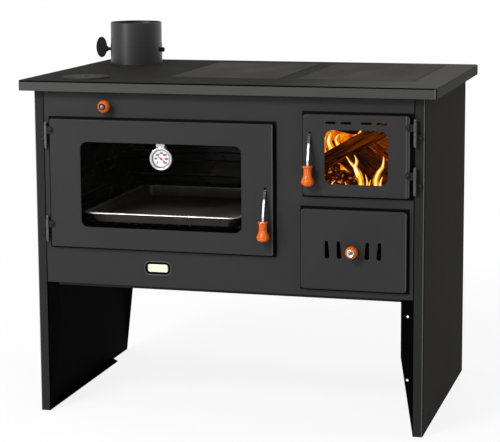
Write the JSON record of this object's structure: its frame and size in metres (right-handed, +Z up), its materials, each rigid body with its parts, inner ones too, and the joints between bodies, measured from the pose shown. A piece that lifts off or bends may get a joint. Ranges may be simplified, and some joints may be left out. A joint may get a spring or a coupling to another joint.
{
  "type": "wood cookstove",
  "caption": "Free-standing wood-burning cookstove on two side panels: glazed oven, glazed firebox, ash drawer, lift-out hotplates and a top flue collar with a damper.",
  "frame": {"origin": "centre of the overall footprint, on the floor", "axes": "+Z up; +Y to the back, away from the oven door; +X to the right seen from the front, towards the firebox"},
  "size_m": [0.958, 0.6532, 0.88],
  "materials": {
    "front_paint": "satin heat-proof anthracite powder coat",
    "side_paint": "satin heat-proof anthracite powder coat",
    "cooktop_paint": "fine-textured heat-proof black",
    "collar_paint": "matt heat-proof black",
    "cast_iron": "blacked cast iron",
    "oven_enamel": "smooth black enamel",
    "raw_steel": "mill-finish sheet, heat-darkened",
    "zinc": "zinc plated",
    "chrome": "polished",
    "wood": "orange-brown lacquered turned wood",
    "door_glass": "clear heat-proof glass",
    "lens_glass": "clear",
    "dial": "white printed dial",
    "pointer_red": "red lacquer",
    "badge": "bare cream enamel plate",
    "rope": "grey woven glass-fibre rope",
    "firebrick": "cast fireclay slab",
    "grid_wire": "bright wire",
    "tray_steel": "dark pressed steel"
  },
  "bodies": {
    "root": {"cooktop": "cooktop_paint", "side_panel_left": "side_paint", "side_panel_right": "side_paint", "front_panel": "front_paint", "back_panel": "side_paint", "back_screws": "zinc", "bottom_plate": "side_paint", "badge_plate": "badge", "flue_collar": "collar_paint", "oven_box": "oven_enamel", "oven_frame_hinge_leaves": "front_paint", "fire_frame_hinge_leaves": "front_paint", "hinge_pins": "front_paint", "firebox_divider": "raw_steel", "firebox_floor": "raw_steel", "fire_grate": "cast_iron", "firebricks": "firebrick", "fire_frame": "cast_iron", "ash_rails": "raw_steel", "flue_baffle": "raw_steel", "bypass_guide": "raw_steel"},
    "oven_door": {"oven_door": "front_paint", "oven_glass": "door_glass", "oven_glass_clips": "zinc", "oven_rope_seal": "rope", "oven_door_hinge_leaves": "front_paint", "oven_latch_bracket": "zinc", "thermometer_bracket": "zinc", "thermometer_case": "chrome", "thermometer_dial": "dial", "thermometer_lens": "lens_glass"},
    "thermometer_pointer": {"thermometer_pointer": "pointer_red"},
    "oven_handle": {"oven_latch_lever": "chrome", "oven_latch_grip": "wood"},
    "fire_door": {"fire_door": "front_paint", "fire_glass": "door_glass", "fire_glass_clips": "zinc", "fire_rope_seal": "rope", "fire_door_hinge_leaves": "front_paint", "fire_latch_bracket": "zinc"},
    "fire_handle": {"fire_latch_lever": "chrome", "fire_latch_grip": "wood"},
    "ash_drawer": {"ash_drawer_front": "front_paint", "ash_drawer_pan": "raw_steel"},
    "air_shutter": {"air_shutter": "zinc", "ash_knob": "wood", "ash_knob_cap": "chrome"},
    "bypass": {"bypass_rod": "zinc", "bypass_plate": "raw_steel", "bypass_knob": "wood", "bypass_knob_cap": "chrome"},
    "flue_damper": {"damper_shaft": "zinc", "damper_plate": "raw_steel", "damper_handle": "front_paint"},
    "middle_hotplate": {"middle_hotplate": "cast_iron"},
    "right_hotplate": {"right_hotplate": "cast_iron"},
    "round_lid": {"round_lid": "cast_iron"},
    "cleanout_cap": {"cleanout_cap": "cast_iron"},
    "oven_grid": {"oven_grid": "grid_wire"},
    "baking_tray": {"baking_tray": "tray_steel"}
  },
  "joints": [
    {"name": "oven_door_hinge", "type": "hinge", "parent": "root", "child": "oven_door", "pos_m": [-0.42, -0.28937, 0.54], "axis": [0, 0, -1], "range_deg": [0, 110]},
    {"name": "oven_handle_lift", "type": "hinge", "parent": "oven_door", "child": "oven_handle", "pos_m": [0.097, -0.28737, 0.5385], "axis": [-1, 0, 0], "range_deg": [0, 35]},
    {"name": "thermometer_turn", "type": "hinge", "parent": "oven_door", "child": "thermometer_pointer", "pos_m": [-0.147, -0.28237, 0.6026], "axis": [0, -1, 0], "range_deg": [0, 225]},
    {"name": "fire_door_hinge", "type": "hinge", "parent": "root", "child": "fire_door", "pos_m": [0.4305, -0.28937, 0.623], "axis": [0, 0, 1], "range_deg": [0, 120]},
    {"name": "fire_handle_lift", "type": "hinge", "parent": "fire_door", "child": "fire_handle", "pos_m": [0.198, -0.28737, 0.666], "axis": [-1, 0, 0], "range_deg": [0, 35]},
    {"name": "ash_drawer_slide", "type": "slide", "parent": "root", "child": "ash_drawer", "axis": [0, -1, 0], "range_m": [0, 0.3]},
    {"name": "air_shutter_slide", "type": "slide", "parent": "ash_drawer", "child": "air_shutter", "axis": [-1, 0, 0], "range_m": [0, 0.013]},
    {"name": "bypass_pull", "type": "slide", "parent": "root", "child": "bypass", "axis": [0, -1, 0], "range_m": [0, 0.06]},
    {"name": "flue_damper_turn", "type": "hinge", "parent": "root", "child": "flue_damper", "pos_m": [-0.368, 0.20062, 0.811], "axis": [1, 0, 0], "range_deg": [0, 90]},
    {"name": "middle_hotplate_lift", "type": "slide", "parent": "root", "child": "middle_hotplate", "axis": [0, 0, 1], "range_m": [0, 0.12]},
    {"name": "right_hotplate_lift", "type": "slide", "parent": "root", "child": "right_hotplate", "axis": [0, 0, 1], "range_m": [0, 0.12]},
    {"name": "round_lid_lift", "type": "slide", "parent": "right_hotplate", "child": "round_lid", "axis": [0, 0, 1], "range_m": [0, 0.08]},
    {"name": "cleanout_cap_lift", "type": "slide", "parent": "root", "child": "cleanout_cap", "axis": [0, 0, 1], "range_m": [0, 0.08]},
    {"name": "oven_grid_slide", "type": "slide", "parent": "root", "child": "oven_grid", "axis": [0, -1, 0], "range_m": [-0.01, 0.012]},
    {"name": "baking_tray_slide", "type": "slide", "parent": "oven_grid", "child": "baking_tray", "axis": [0, -1, 0], "range_m": [-0.012, 0.012]}
  ]
}
